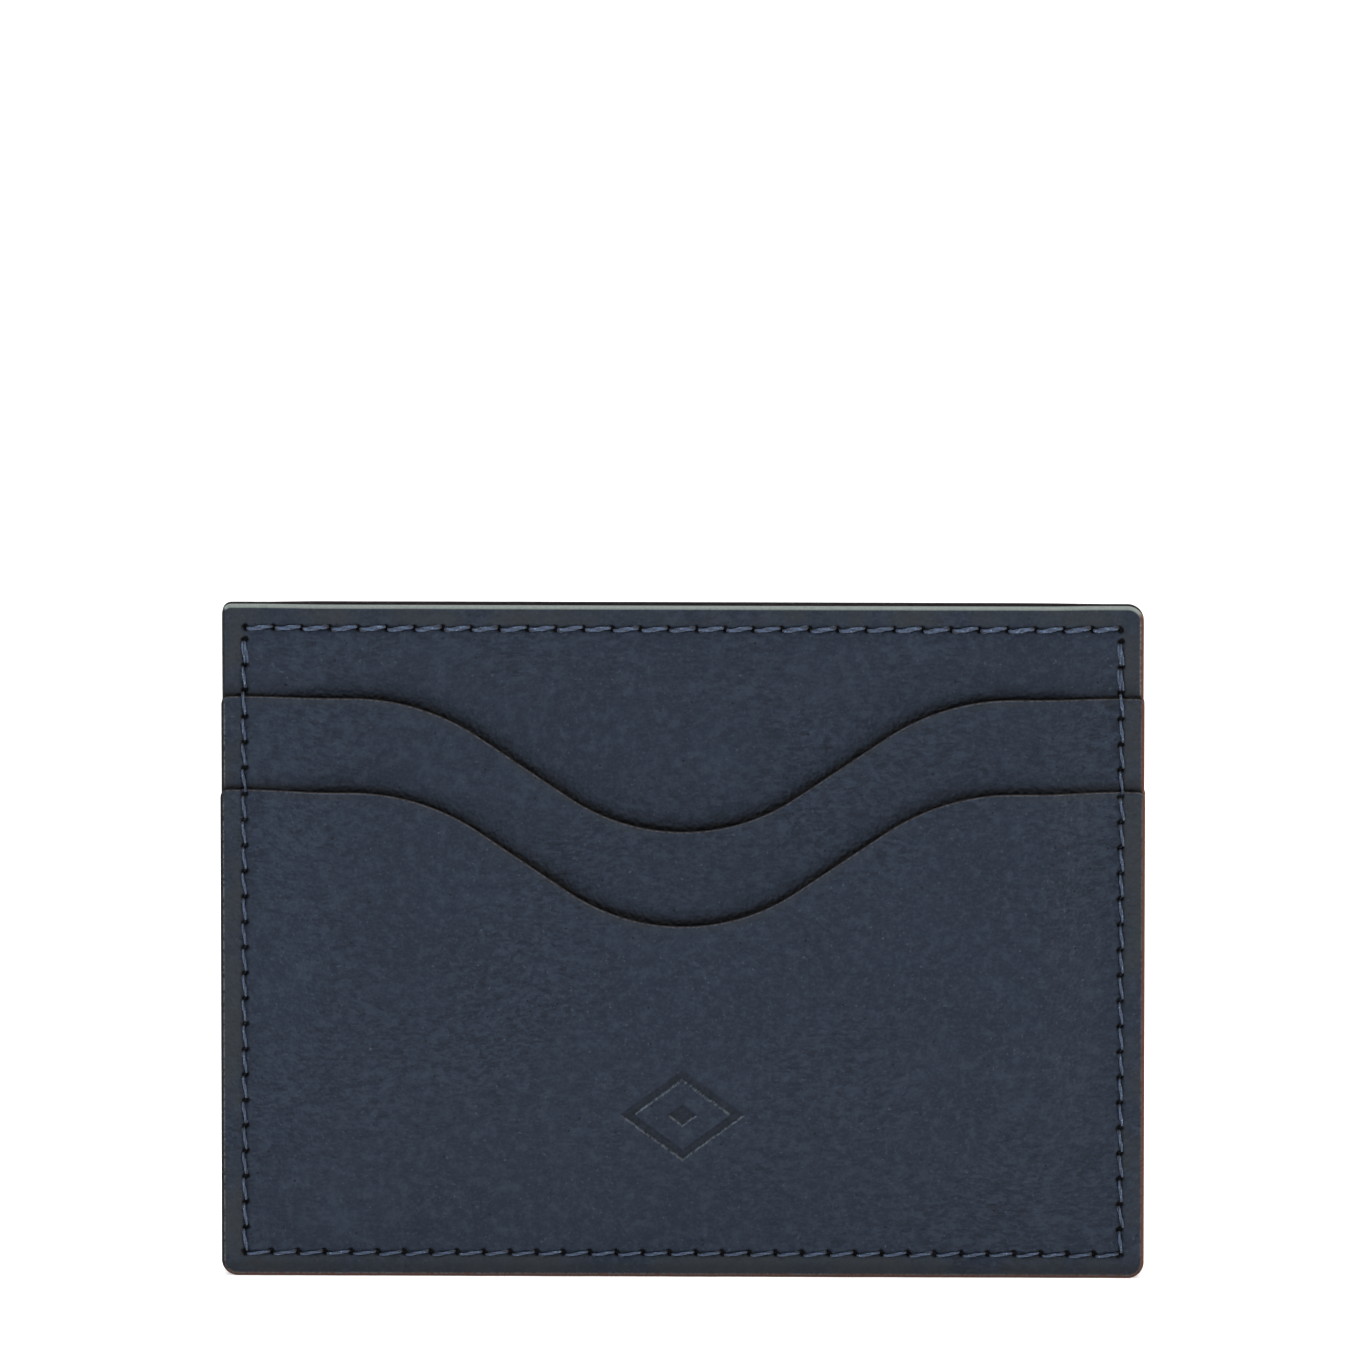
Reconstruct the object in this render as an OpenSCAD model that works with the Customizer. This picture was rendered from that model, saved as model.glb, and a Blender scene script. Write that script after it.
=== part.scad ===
// Leather card holder: two body panels round an open centre slot, and two
// wave-mouthed card pockets on each side. It stands on its bottom edge:
// X is the width, Z is up, and the front faces -Y.
// Depths are measured outwards from the middle plane between the body panels.

/* [Card] */
// Width of one card
card_w = 85.6; // [80:0.1:104]
// Height of one card
card_h = 53.98; // [45:0.02:66]
// Thickness of one card
card_t = 0.76; // [0.5:0.02:1]
// Room across the face of a card in its slot
card_play = 0.09; // [0.05:0.01:0.3]
// Room beside each short edge of a card
card_side_play = 0.5; // [0.2:0.1:1.5]

/* [Holder] */
// Leather between a card's edge and the side of the holder
side_margin = 8.2; // [7.5:0.1:12]
// How far a card stands above the ends of its pocket's mouth
card_show = 6.68; // [4:0.02:9]
// Radius of the bottom corners
corner_r = 1.8; // [0.5:0.1:4]
// Radius of the top corners
top_corner_r = 1; // [0.5:0.1:3]

/* [Leather] */
// Thickness of the body panels
body_t = 1; // [0.9:0.05:1.4]
// Thickness of the pocket panels
pocket_t = 0.8; // [0.7:0.05:1.2]
// Thickness of the facing strips inside the centre slot's mouth
facing_t = 0.4; // [0.35:0.01:0.5]
// Height of the facing strips
facing_h = 5.7; // [4.5:0.1:7.5]
// Height over which a body panel bends out over its facing
facing_ramp = 1; // [0.5:0.1:1.5]

/* [Pocket mouths] */
// Drop from the top edge to the ends of the upper mouth
mouth_drop = 10.2; // [8.5:0.1:14]
// Drop from the upper mouth to the lower mouth
mouth_step = 10.3; // [8.5:0.1:13]
// Depth of the dip in the middle of a mouth
wave_depth = 14.8; // [12:0.1:18]
// Slope of the straight stretches beside the dip, in degrees
wave_slope = 34; // [28:1:38]
// Radius at the bottom of the dip
valley_r = 22.4; // [18:0.1:27]
// Radius of the shoulders at the top of each slope
shoulder_r = 25; // [20:0.1:30]

/* [Seams] */
// Distance from the side and bottom edges to the assembly seam
seam_in = 2.6; // [2.2:0.1:3.2]
// Flat leather between a seam and the start of a slot
seam_land = 1; // [0.7:0.1:1.5]
// Height over which a slot opens above its seam
floor_ramp = 3.6; // [3:0.1:4.5]
// Distance from the top edge to the hem seam
hem_in = 2.5; // [2.1:0.1:3]
// Distance from the side edges to the ends of the hem seam
hem_end = 2.8; // [1.6:0.1:4]
// Stitch length of the assembly and card-stop seams
seam_stitch = 2.9; // [2.4:0.1:3.5]
// Stitch length of the hem seams
hem_stitch = 3.1; // [2.5:0.05:3.6]
// Thickness of the thread
thread_d = 0.36; // [0.3:0.01:0.45]
// Room between the thread and the sides of its slit
thread_play = 0.03; // [0.01:0.01:0.06]
// Gap between two stitches where they dip into one slit
stitch_gap = 0.2; // [0.1:0.02:0.4]
// How deep the inner rows of thread bed into the leather
inner_bed = 0.24; // [0.15:0.01:0.28]
// Leather between the end of the assembly seam and the hem seam
seam_clear = 0.8; // [0.5:0.1:2]

/* [Mark] */
// Width of the plain debossed lozenge on the front
mark_w = 14; // [8:0.5:20]
// Height of the lozenge
mark_h = 10.5; // [6:0.5:16]
// Width of the lozenge's line
mark_line = 1.1; // [0.6:0.1:2]
// Height of the lozenge's centre above the bottom edge
mark_z = 18.5; // [12:0.5:24]
// Depth of the deboss
mark_depth = 0.15; // [0.05:0.01:0.3]

/* [Hidden] */
leather_navy = "#2d3543";
leather_flesh = "#3a3f4b";
thread_blue = "#4d5a86";
curve_fn = 48;
past = 1; // how far cutting shapes run past the leather

// heights of the seams, mouths and slot floors
slot_floor_z = seam_in + seam_land;
stop_z = seam_in + mouth_step;
stop_floor_z = stop_z + seam_land;
lower_mouth_z = slot_floor_z + floor_ramp + card_h - card_show;
upper_mouth_z = lower_mouth_z + mouth_step;
body_h = upper_mouth_z + mouth_drop;
hem_z = body_h - hem_in;
facing_z = body_h - facing_h;
facing_floor_z = facing_z - facing_ramp;

// widths
body_w = card_w + 2 * side_margin;
slot_full_x = card_w / 2 + card_side_play;
slot_end_x = body_w / 2 - seam_in - seam_land;
seam_x = body_w / 2 - seam_in;
hem_x = body_w / 2 - hem_end;

// widths of the slots at their middle, front to back
pocket_gap = card_t + card_play;
centre_gap = card_t + card_play + 2 * (thread_d - inner_bed);

// a slit takes two strands side by side
slit_l = 2 * thread_d + 2 * thread_play;
slit_w = thread_d + 2 * thread_play;

// ---- forming: how far each layer is pushed out from the middle plane

function clamp01(v) = max(0, min(1, v));
function across(x) = clamp01((slot_end_x - abs(x)) / (slot_end_x - slot_full_x));
function above(z, floor_z) = clamp01((z - floor_z) / floor_ramp);

// layer 0 is a body panel, 1 an upper pocket and 2 a lower pocket
function spread(layer, x, z) =
    facing_t * clamp01((z - facing_floor_z) / facing_ramp)
    + centre_gap / 2 * min(across(x), above(z, slot_floor_z))
    + (layer > 0 ? pocket_gap * min(across(x), above(z, stop_floor_z)) : 0)
    + (layer > 1 ? pocket_gap * min(across(x), above(z, slot_floor_z)) : 0);

grid_x = [-body_w / 2 - past, -slot_end_x, -slot_full_x, slot_full_x, slot_end_x, body_w / 2 + past];
grid_z = [-past, slot_floor_z, slot_floor_z + floor_ramp, stop_floor_z, stop_floor_z + floor_ramp,
    facing_floor_z, facing_z, body_h + past];
nx = len(grid_x);
nz = len(grid_z);

function grid_points(layer, depth) =
    [for (z = grid_z) for (x = grid_x) [x, -depth - spread(layer, x, z), z]];
function cell(i, j, base) =
    let (a = base + j * nx + i, b = a + 1, c = a + nx + 1, d = a + nx) [[a, b, c], [a, c, d]];
function turned(faces) = [for (f = faces) [f[2], f[1], f[0]]];
// wall triangles along a chain of inner points and the matching outer points
function wall(chain, step) =
    [for (k = [0 : len(chain) - 2]) each [
        [chain[k + 1] + step, chain[k + 1], chain[k]],
        [chain[k] + step, chain[k + 1] + step, chain[k]]]];
edge_chain = concat(
    [for (i = [0 : nx - 1]) i],
    [for (j = [1 : nz - 1]) j * nx + nx - 1],
    [for (i = [nx - 2 : -1 : 0]) (nz - 1) * nx + i],
    [for (j = [nz - 2 : -1 : 0]) j * nx]);

// one formed sheet, far larger than its panel, between two depths
module sheet(layer, inner, outer) {
    n = nx * nz;
    inside = [for (j = [0 : nz - 2]) for (i = [0 : nx - 2]) each cell(i, j, 0)];
    outside = [for (j = [0 : nz - 2]) for (i = [0 : nx - 2]) each cell(i, j, n)];
    polyhedron(
        points = concat(grid_points(layer, inner), grid_points(layer, outer)),
        faces = concat(inside, turned(outside), wall(edge_chain, n)));
}

// ---- outlines, drawn in X and Z

module to_depth(inner, outer) {
    translate([0, -inner, 0]) rotate([90, 0, 0]) linear_extrude(outer - inner) children();
}

module body_outline() {
    translate([-body_w / 2, corner_r]) square([body_w, body_h - corner_r - top_corner_r]);
    translate([corner_r - body_w / 2, 0]) square([body_w - 2 * corner_r, body_h / 2]);
    translate([top_corner_r - body_w / 2, body_h / 2]) square([body_w - 2 * top_corner_r, body_h / 2]);
    for (side = [-1, 1]) {
        translate([side * (body_w / 2 - corner_r), corner_r])
            circle(corner_r, $fn = curve_fn);
        translate([side * (body_w / 2 - top_corner_r), body_h - top_corner_r])
            circle(top_corner_r, $fn = curve_fn);
    }
}

// everything above a mouth: straight ends, round shoulders, straight slopes and a round dip
module above_mouth(mouth_z) {
    bottom = mouth_z - wave_depth;
    valley_x = valley_r * sin(wave_slope);
    valley_z = bottom + valley_r * (1 - cos(wave_slope));
    slope_z = mouth_z - shoulder_r * (1 - cos(wave_slope));
    slope_x = valley_x + (slope_z - valley_z) / tan(wave_slope);
    shoulder_x = slope_x + shoulder_r * sin(wave_slope);
    translate([-body_w / 2 - past, mouth_z]) square([body_w + 2 * past, body_h - mouth_z + past]);
    translate([0, bottom + valley_r]) circle(valley_r, $fn = curve_fn);
    difference() {
        polygon([[-shoulder_x, mouth_z], [-slope_x, slope_z], [-valley_x, valley_z],
            [valley_x, valley_z], [slope_x, slope_z], [shoulder_x, mouth_z]]);
        for (side = [-1, 1])
            translate([side * shoulder_x, mouth_z - shoulder_r]) circle(shoulder_r, $fn = curve_fn);
    }
}

// ---- seams: a row is a list of distances along its line

function even_row(a, b, stitch) =
    let (n = round((b - a) / stitch)) [for (i = [0 : n]) a + (b - a) * i / n];

hem_row = even_row(-hem_x, hem_x, hem_stitch);
stop_x = slot_full_x - slit_l / 2;
stop_row = even_row(-stop_x, stop_x, seam_stitch);
bottom_row = even_row(-seam_x, seam_x, seam_stitch);
column_top = hem_z - (slit_l + thread_d) / 2 - seam_clear;
column_row = even_row(seam_in, column_top, seam_stitch);

module row_slits(row, z) {
    for (x = row)
        translate([x - slit_l / 2, z - slit_w / 2]) square([slit_l, slit_w]);
}

module assembly_slits() {
    row_slits(bottom_row, seam_in);
    for (x = [-seam_x, seam_x])
        for (z = column_row)
            translate([x - slit_w / 2, z - slit_l / 2]) square([slit_w, slit_l]);
}

// ---- thread: it lies along a face, and the strands of neighbouring stitches dip through one slit

// beds[i] is the level that stitch i lies on, and locks[i] the level where the strands in slit i end
module thread(row, beds, locks) {
    last = len(row) - 1;
    half_gap = stitch_gap / 2;
    top = [for (i = [1 : last - 1]) let (dip = min(beds[i - 1], beds[i])) each [
        [row[i] - half_gap, beds[i - 1] + thread_d],
        [row[i] - half_gap, dip],
        [row[i] + half_gap, dip],
        [row[i] + half_gap, beds[i] + thread_d]]];
    under = [for (i = [last - 1 : -1 : 1]) each [
        [row[i] + thread_d, beds[i]],
        [row[i] + thread_d, locks[i]],
        [row[i] - thread_d, locks[i]],
        [row[i] - thread_d, beds[i - 1]]]];
    translate([0, 0, -thread_d / 2])
        linear_extrude(thread_d)
            polygon(concat(
                [[row[0], locks[0]], [row[0], beds[0] + thread_d]],
                top,
                [[row[last], beds[last - 1] + thread_d], [row[last], locks[last]],
                    [row[last] - thread_d, locks[last]], [row[last] - thread_d, beds[last - 1]]],
                under,
                [[row[0] + thread_d, beds[0]], [row[0] + thread_d, locks[0]]]));
}

// a row along X on an outer face, and one on an inner face
module outer_row(row, z, beds, locks) {
    translate([0, 0, z]) rotate([180, 0, 0]) thread(row, beds, locks);
}

module inner_row(row, z, beds, locks) {
    translate([0, 0, z]) thread(row, -beds, -locks);
}

// a column along Z on an outer face
module outer_column(column, x, beds, locks) {
    translate([x, 0, 0]) rotate(180, [1, 0, 1]) thread(column, beds, locks);
}

function ends(row, i) =
    [row[i] - slit_l / 2, row[i] + slit_l / 2, row[i + 1] - slit_l / 2, row[i + 1] + slit_l / 2];
function stitches(row) = [0 : len(row) - 2];
function level(row, v) = [for (p = row) v];

hem_spread = [for (i = stitches(hem_row)) [for (x = ends(hem_row, i)) spread(0, x, hem_z)]];
hem_outer = [for (s = hem_spread) max(s) + body_t];
hem_inner = [for (s = hem_spread) max(thread_d, min(s) - facing_t + inner_bed)];
hem_locks = [for (x = hem_row) spread(0, x, hem_z) + (body_t - facing_t + inner_bed) / 2];

stop_inner = centre_gap / 2 + inner_bed;
stop_outer = centre_gap / 2 + body_t + pocket_t - thread_d;
stop_lock = (stop_inner + stop_outer) / 2;

// half the thickness of the sewn margin at height z
function margin(z) =
    spread(0, seam_x, z) + body_t + (z < upper_mouth_z ? pocket_t : 0) + (z < lower_mouth_z ? pocket_t : 0);
column_beds = [for (i = stitches(column_row)) max([for (z = ends(column_row, i)) margin(z)])];

// ---- leather, drawn for the front; the back pieces are its mirror image

face_depth = body_t + 2 * pocket_t + centre_gap / 2 + 2 * pocket_gap;

module through() {
    to_depth(-past, face_depth + past) children();
}

// a slab across the holder between two heights
module band(low, high) {
    translate([-body_w / 2 - past, -face_depth - past, low])
        cube([body_w + 2 * past, face_depth + 2 * past, high - low]);
}

// beside the slot the two facings meet, so there the inner hem thread is bedded all the way
module hem_end_bed() {
    to_depth(-past, thread_d)
        translate([-body_w / 2 - past, hem_z - slit_w / 2])
            square([body_w + 2 * past, slit_w]);
}

// the bed of the card-stop thread, in the flat part of a panel
module stop_bed(inner, outer) {
    translate([-slot_full_x, -outer, stop_z - slit_w / 2])
        cube([2 * slot_full_x, outer - inner, slit_w]);
}

module body_leather() {
    difference() {
        intersection() {
            sheet(0, 0, body_t);
            through() body_outline();
        }
        stop_bed(-past, stop_inner);
        hem_end_bed();
        through() {
            row_slits(hem_row, hem_z);
            row_slits(stop_row, stop_z);
            assembly_slits();
        }
    }
}

module facing_leather() {
    difference() {
        intersection() {
            sheet(0, -facing_t, 0);
            through() body_outline();
            band(facing_z, body_h + past);
        }
        intersection() {
            sheet(0, -facing_t - past, -facing_t + inner_bed);
            band(hem_z - slit_w / 2, hem_z + slit_w / 2);
        }
        hem_end_bed();
        through() {
            row_slits(hem_row, hem_z);
            assembly_slits();
        }
    }
}

module pocket_leather(layer, mouth_z) {
    inner = body_t + (layer - 1) * pocket_t;
    intersection() {
        sheet(layer, inner, inner + pocket_t);
        through()
            difference() {
                body_outline();
                above_mouth(mouth_z);
                assembly_slits();
            }
    }
}

module upper_leather() {
    difference() {
        pocket_leather(1, upper_mouth_z);
        stop_bed(stop_outer, face_depth);
        through() row_slits(stop_row, stop_z);
    }
}

module lower_leather() {
    pocket_leather(2, lower_mouth_z);
}

module lozenge(w, h) {
    polygon([[-w / 2, 0], [0, -h / 2], [w / 2, 0], [0, h / 2]]);
}

module mark() {
    outer = body_t + 2 * pocket_t;
    intersection() {
        sheet(2, outer - mark_depth, outer + past);
        through()
            translate([0, mark_z]) {
                difference() {
                    lozenge(mark_w, mark_h);
                    lozenge(mark_w - 3 * mark_line, mark_h - 3 * mark_line * mark_h / mark_w);
                }
                lozenge(mark_w / 4, mark_h / 4);
            }
    }
}

module hem_needle_row() {
    outer_row(hem_row, hem_z, hem_outer, hem_locks);
}

module hem_bobbin_row() {
    inner_row(hem_row, hem_z, hem_inner, hem_locks);
}

module stop_needle_row() {
    outer_row(stop_row, stop_z, level(stop_row, stop_outer), level(stop_row, stop_lock));
}

module stop_bobbin_row() {
    inner_row(stop_row, stop_z, level(stop_row, stop_inner), level(stop_row, stop_lock));
}

// one thread down the left side, along the bottom and up the right side
module assembly_row() {
    outer_row(bottom_row, seam_in, level(bottom_row, margin(seam_in)), level(bottom_row, 0));
    for (x = [-seam_x, seam_x])
        outer_column(column_row, x, column_beds, level(column_row, 0));
}

// ---- sub-parts

module front_panel() {
    color(leather_navy) body_leather();
}

module front_mouth_facing() {
    color(leather_flesh) facing_leather();
}

module front_upper_pocket() {
    color(leather_navy) upper_leather();
}

module front_lower_pocket() {
    color(leather_navy)
        difference() {
            lower_leather();
            mark();
        }
}

module back_panel() {
    color(leather_navy) mirror([0, 1, 0]) body_leather();
}

module back_mouth_facing() {
    color(leather_flesh) mirror([0, 1, 0]) facing_leather();
}

module back_upper_pocket() {
    color(leather_navy) mirror([0, 1, 0]) upper_leather();
}

module back_lower_pocket() {
    color(leather_navy) mirror([0, 1, 0]) lower_leather();
}

module front_hem_needle_thread() {
    color(thread_blue) hem_needle_row();
}

module front_hem_bobbin_thread() {
    color(thread_blue) hem_bobbin_row();
}

module back_hem_needle_thread() {
    color(thread_blue) mirror([0, 1, 0]) hem_needle_row();
}

module back_hem_bobbin_thread() {
    color(thread_blue) mirror([0, 1, 0]) hem_bobbin_row();
}

module front_card_stop_needle_thread() {
    color(thread_blue) stop_needle_row();
}

module front_card_stop_bobbin_thread() {
    color(thread_blue) stop_bobbin_row();
}

module back_card_stop_needle_thread() {
    color(thread_blue) mirror([0, 1, 0]) stop_needle_row();
}

module back_card_stop_bobbin_thread() {
    color(thread_blue) mirror([0, 1, 0]) stop_bobbin_row();
}

module assembly_needle_thread() {
    color(thread_blue) assembly_row();
}

module assembly_bobbin_thread() {
    color(thread_blue) mirror([0, 1, 0]) assembly_row();
}

front_panel();
front_mouth_facing();
front_upper_pocket();
front_lower_pocket();
back_panel();
back_mouth_facing();
back_upper_pocket();
back_lower_pocket();
front_hem_needle_thread();
front_hem_bobbin_thread();
back_hem_needle_thread();
back_hem_bobbin_thread();
front_card_stop_needle_thread();
front_card_stop_bobbin_thread();
back_card_stop_needle_thread();
back_card_stop_bobbin_thread();
assembly_needle_thread();
assembly_bobbin_thread();
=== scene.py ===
import math

import bpy
import numpy as np
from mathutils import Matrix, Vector


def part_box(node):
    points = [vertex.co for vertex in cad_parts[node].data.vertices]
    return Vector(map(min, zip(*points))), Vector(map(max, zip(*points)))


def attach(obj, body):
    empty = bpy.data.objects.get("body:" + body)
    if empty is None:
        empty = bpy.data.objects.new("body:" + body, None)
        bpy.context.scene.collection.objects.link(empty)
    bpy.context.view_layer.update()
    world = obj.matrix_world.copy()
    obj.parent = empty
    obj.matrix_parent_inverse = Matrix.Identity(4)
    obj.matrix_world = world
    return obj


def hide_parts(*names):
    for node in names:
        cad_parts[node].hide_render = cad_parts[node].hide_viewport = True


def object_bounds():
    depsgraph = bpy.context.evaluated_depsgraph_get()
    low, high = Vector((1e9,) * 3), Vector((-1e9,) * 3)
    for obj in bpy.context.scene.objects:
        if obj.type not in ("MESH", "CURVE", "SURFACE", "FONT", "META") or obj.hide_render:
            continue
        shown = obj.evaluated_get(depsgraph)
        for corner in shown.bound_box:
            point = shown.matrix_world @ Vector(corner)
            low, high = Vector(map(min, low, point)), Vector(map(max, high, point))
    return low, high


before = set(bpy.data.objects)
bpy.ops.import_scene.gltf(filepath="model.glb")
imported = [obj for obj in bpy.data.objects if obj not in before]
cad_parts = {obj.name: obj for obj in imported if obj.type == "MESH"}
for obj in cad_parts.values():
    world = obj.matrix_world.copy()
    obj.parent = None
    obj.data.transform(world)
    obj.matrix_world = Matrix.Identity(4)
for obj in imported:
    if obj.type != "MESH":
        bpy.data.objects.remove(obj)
cadBox = [list(corner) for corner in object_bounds()]

# everything below is worked out in millimetres and put into the meshes in metres
mm = 0.001


def boxOf(node):
    # lowest and highest corner of a node, in millimetres
    low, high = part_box(node)
    return np.array(low) / mm, np.array(high) / mm


# places that the frame gives: the outline, the two mouths, the facing's lower edge and each seam's line
threadWidth = 0.36
halfWidth = cadBox[1][0] / mm
bodyHeight = cadBox[1][2] / mm
upperMouthZ = boxOf("front_upper_pocket")[1][2]
lowerMouthZ = boxOf("front_lower_pocket")[1][2]
facingZ = boxOf("front_mouth_facing")[0][2]
hemZ = boxOf("front_hem_needle_thread")[1][2] - threadWidth / 2
hemX = boxOf("front_hem_needle_thread")[1][0]
stopZ = boxOf("front_card_stop_needle_thread")[1][2] - threadWidth / 2
stopX = boxOf("front_card_stop_needle_thread")[1][0]
seamZ = boxOf("assembly_needle_thread")[0][2] + threadWidth / 2
seamX = boxOf("assembly_needle_thread")[1][0] - threadWidth / 2
seamTopZ = boxOf("assembly_needle_thread")[1][2]

leather = {
    "bodyThickness": 1.0,
    "pocketThickness": 0.8,
    "facingThickness": 0.4,
    "edgeRound": 0.35,      # how far in from the cut edge its rounding starts
    "innerRound": 0.1,      # the smaller rounding on the glued side
    "cornerRadius": 1.8,
    "topCornerRadii": (1.0, 1.8),       # left and right, seen from the front
    "mouthCorner": 0.5,     # where a mouth meets the side edge
    "layerStep": 0.1,       # each layer is a little wider than the one behind it
    "facingPrint": 0.05,    # how far the facing's lower edge prints through the body
    "waves": ((0.012, 3.1, 5), (0.02, 9.0, 7)),     # depth, length and seed of the slow waves in the face
}

mouth = {
    "depth": 14.8,          # of the dip in the middle
    "slope": 34.0,          # degrees
    "valleyRadius": 22.4,
    "shoulderRadius": 25.0,
    "creaseDepth": 0.035,   # the tooled line just below the lip
    "creaseBelow": 0.42,
    "creaseWidth": 0.16,
}

slots = {
    "cardGap": 0.85,        # how far a pocket stands off the leather behind it
    "centreGap": 1.09,
    "floorAbove": 1.0,      # from a seam to where the slot starts to open
    "sideEase": 8.0,        # over this width the leather rises beside a seam
    "floorEase": 15.0,      # over this height it rises above a seam
    "crown": 0.22,          # share of the opening that only the middle has
}

stitching = {
    "assemblyPitch": 2.9,
    "hemPitch": 3.1,
    "hemThreadRadius": 0.23,
    "threadRadius": 0.155,
    "slitHalf": 0.40,
    "slitWidth": 0.31,
    "slitShift": 0.13,      # the assembly seam's slits lie this far to the left of its line
    "slitTurn": 60.0,       # slits are turned this far clockwise from the seam
    "slitDepth": 0.42,
    "rimHalf": 0.75,        # the leather also sinks a little round each slit
    "rimWidth": 0.45,
    "rimDepth": 0.05,
    "offAlong": 0.33,       # the thread leaves a slit this far along the seam
    "offAside": 0.19,       # and this far beside it
    "bedDepth": 0.15,       # the groove under the thread
    "bedWidth": 0.26,
    "pinch": 0.1,           # how far the seam pulls the leather in
    "pinchWidth": 1.1,
    "pinchPast": 1.4,       # how far the pull goes on past the seam's ends
    "stray": 0.03,          # how far a stitch's ends miss the seam's line
    "secondAside": 0.3,     # a doubled stitch's second pass lies this far beside the first
}

mark = {
    "width": 14.0,
    "height": 10.5,
    "line": 1.1,
    "centreZ": 18.5,
    "depth": 0.3,
    "wall": 0.2,
    "core": 0.75,           # the small lozenge starts this share of the way to the middle
}

camera = {
    "azimuth": 1.0,
    "elevation": 9.5,
    "distance": 2500.0,
    "frameWidth": 150.6,    # what the frame takes in at the holder
    "aim": (0.0, 0.0, 66.2),
}


def smooth(t):
    # 0 below 0, 1 above 1 and 3t^2 - 2t^3 between
    t = np.clip(t, 0.0, 1.0)
    return t * t * (3.0 - 2.0 * t)


def bell(d, width):
    # exp(-(d / width)^2)
    return np.exp(-(d / width) ** 2)


def ripple(x, z, size, seed):
    # a sum of eight waves in random directions, each sin(k . p + phase), about 1 high
    rng = np.random.default_rng(seed)
    angles = rng.uniform(0, math.pi, 8)
    phases = rng.uniform(0, 6.28, 8)
    scales = rng.uniform(0.7, 1.5, 8)
    total = np.zeros_like(x)
    for angle, phase, scale in zip(angles, phases, scales):
        k = 2 * math.pi / (size * scale)
        total += np.sin(k * (x * math.cos(angle) + z * math.sin(angle)) + phase)
    return total / 2.8


# outlines

edge = leather["edgeRound"]
bodyHalf = halfWidth - edge - 2 * leather["layerStep"]
upperHalf = halfWidth - edge - leather["layerStep"]
lowerHalf = halfWidth - edge
corner = leather["cornerRadius"] - edge


def cornerDrop(x, half, radius):
    # r - sqrt(r^2 - d^2), where d is how far x is into the rounded corner
    into = np.clip(np.abs(x) - (half - radius), 0.0, radius)
    return radius - np.sqrt(radius ** 2 - into ** 2)


def footLine(half):
    # the bottom edge: level, with a round corner at each end
    return lambda x: edge + cornerDrop(x, half, corner)


def topLine(turned):
    # the body's top edge: level, with the left and the right corner's own radius
    left, right = [radius - edge for radius in leather["topCornerRadii"]]
    return lambda x: bodyHeight - edge - np.where((x < 0) != turned, cornerDrop(x, bodyHalf, left),
                                                  cornerDrop(x, bodyHalf, right))


def mouthHeight(x, mouthZ, inset=0.0):
    # round dip, straight slope, round shoulder, level end; inset moves the line into the leather
    turn = math.radians(mouth["slope"])
    valley, shoulder = mouth["valleyRadius"], mouth["shoulderRadius"]
    bottom = mouthZ - mouth["depth"]
    valleyX = valley * math.sin(turn)
    slopeZ = mouthZ - shoulder * (1 - math.cos(turn))
    slopeX = valleyX + (slopeZ - bottom - valley * (1 - math.cos(turn))) / math.tan(turn)
    shoulderX = slopeX + shoulder * math.sin(turn)
    big, small = valley + inset, shoulder - inset
    x = np.abs(x)
    dip = bottom + valley - np.sqrt(np.maximum(big ** 2 - x ** 2, 0.0))
    top = mouthZ - shoulder + np.sqrt(np.maximum(small ** 2 - (shoulderX - x) ** 2, 0.0))
    startX = big * math.sin(turn)
    startZ = bottom + valley - big * math.cos(turn)
    line = startZ + (x - startX) * math.tan(turn)
    return np.where(x < startX, dip, np.where(x < shoulderX - small * math.sin(turn), line,
                    np.where(x < shoulderX, top, mouthZ - inset)))


def mouthLine(half, mouthZ):
    # a pocket's top edge: the mouth's line, rounded off where it meets the side edges
    return lambda x: mouthHeight(x, mouthZ, edge) - cornerDrop(x, half, leather["mouthCorner"])


def mouthDistance(x, z, mouthZ):
    # height above the mouth's line, shortened by the line's slope
    step = 0.05
    rise = (mouthHeight(x + step, mouthZ) - mouthHeight(x - step, mouthZ)) / (2 * step)
    return (z - mouthHeight(x, mouthZ)) / np.sqrt(1 + rise ** 2)


# how far each face lies from the middle plane

def opening(x, z, floorZ):
    # 0 at the seams and 1 in the middle: an eased rise from the sides and from the floor, with a crown
    slotEnd = seamX - slots["floorAbove"]
    rise = smooth((slotEnd - np.abs(x)) / slots["sideEase"]) * smooth((z - floorZ) / slots["floorEase"])
    return rise * (1 - slots["crown"] * (x / slotEnd) ** 2)


def slotOverSeam(x, z):
    # the opening of a slot whose floor is the assembly seam
    return opening(x, z, seamZ + slots["floorAbove"])


def bodyBack(x, z):
    # half of the centre slot, and the facing's thickness above its lower edge
    overFacing = leather["facingThickness"] * smooth((z - facingZ + 0.6) / 0.6)
    return overFacing + slots["centreGap"] / 2 * slotOverSeam(x, z)


def bodyFace(x, z):
    # half of the centre slot plus the leather; the facing lifts it slowly, and its edge as a small step
    overFacing = leather["facingThickness"] * smooth((z - facingZ + 7.0) / 8.0)
    printed = leather["facingPrint"] * smooth((z - facingZ + 0.3) / 0.6)
    return (overFacing + printed + leather["bodyThickness"] - leather["facingPrint"]
            + slots["centreGap"] / 2 * slotOverSeam(x, z))


def upperBack(x, z):
    # the body below the facing, plus the upper card's slot above the card stop
    body = leather["bodyThickness"] + slots["centreGap"] / 2 * slotOverSeam(x, z)
    return body + slots["cardGap"] * opening(x, z, stopZ + slots["floorAbove"])


def upperFace(x, z):
    # the upper pocket's back plus its thickness
    return upperBack(x, z) + leather["pocketThickness"]


def lowerBack(x, z):
    # the upper pocket's face plus the lower card's slot
    return upperFace(x, z) + slots["cardGap"] * slotOverSeam(x, z)


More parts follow.
